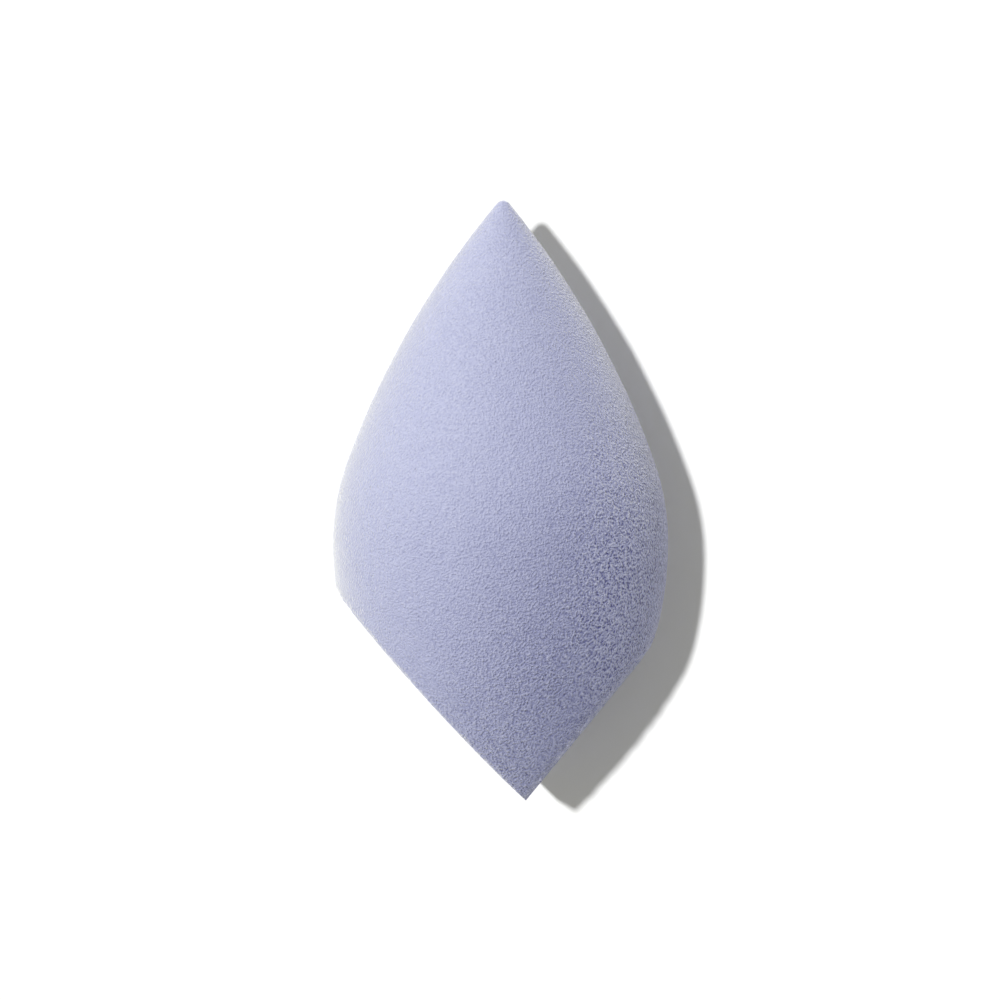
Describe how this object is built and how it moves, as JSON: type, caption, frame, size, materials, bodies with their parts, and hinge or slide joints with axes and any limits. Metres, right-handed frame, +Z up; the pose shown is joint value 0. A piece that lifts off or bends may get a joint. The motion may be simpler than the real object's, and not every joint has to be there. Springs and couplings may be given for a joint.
{
  "type": "makeup sponge",
  "caption": "Teardrop makeup sponge of soft periwinkle foam with a pointed tip, a round belly and flat slanted cuts that meet in a ridge, for blending make-up on the face.",
  "frame": {"origin": "on the table under the middle of the finished length, at the level of the flat where the belly rests", "axes": "+Y along the teardrop's axis towards the tip, +Z up from the table, +X towards the side of the shorter cut"},
  "size_m": [0.0357, 0.0636, 0.0352],
  "materials": {
    "skin_foam": "matte moulded skin of fine-celled polyurethane foam, with a grain like orange peel",
    "core_foam": "open-celled polyurethane foam",
    "cut_foam": "sliced open-celled polyurethane foam, with its cells laid open"
  },
  "bodies": {
    "sponge": {"moulded_skin": "skin_foam", "foam_core": "core_foam"},
    "cut_end": {"long_cut_face": "cut_foam", "short_cut_face": "cut_foam"}
  },
  "joints": [
    {"name": "cut_end_press", "type": "slide", "parent": "sponge", "child": "cut_end", "axis": [0, 1, 0], "range_m": [0, 0.008], "stiffness_N_per_m": 400, "deforming": ["moulded_skin", "foam_core"]}
  ]
}
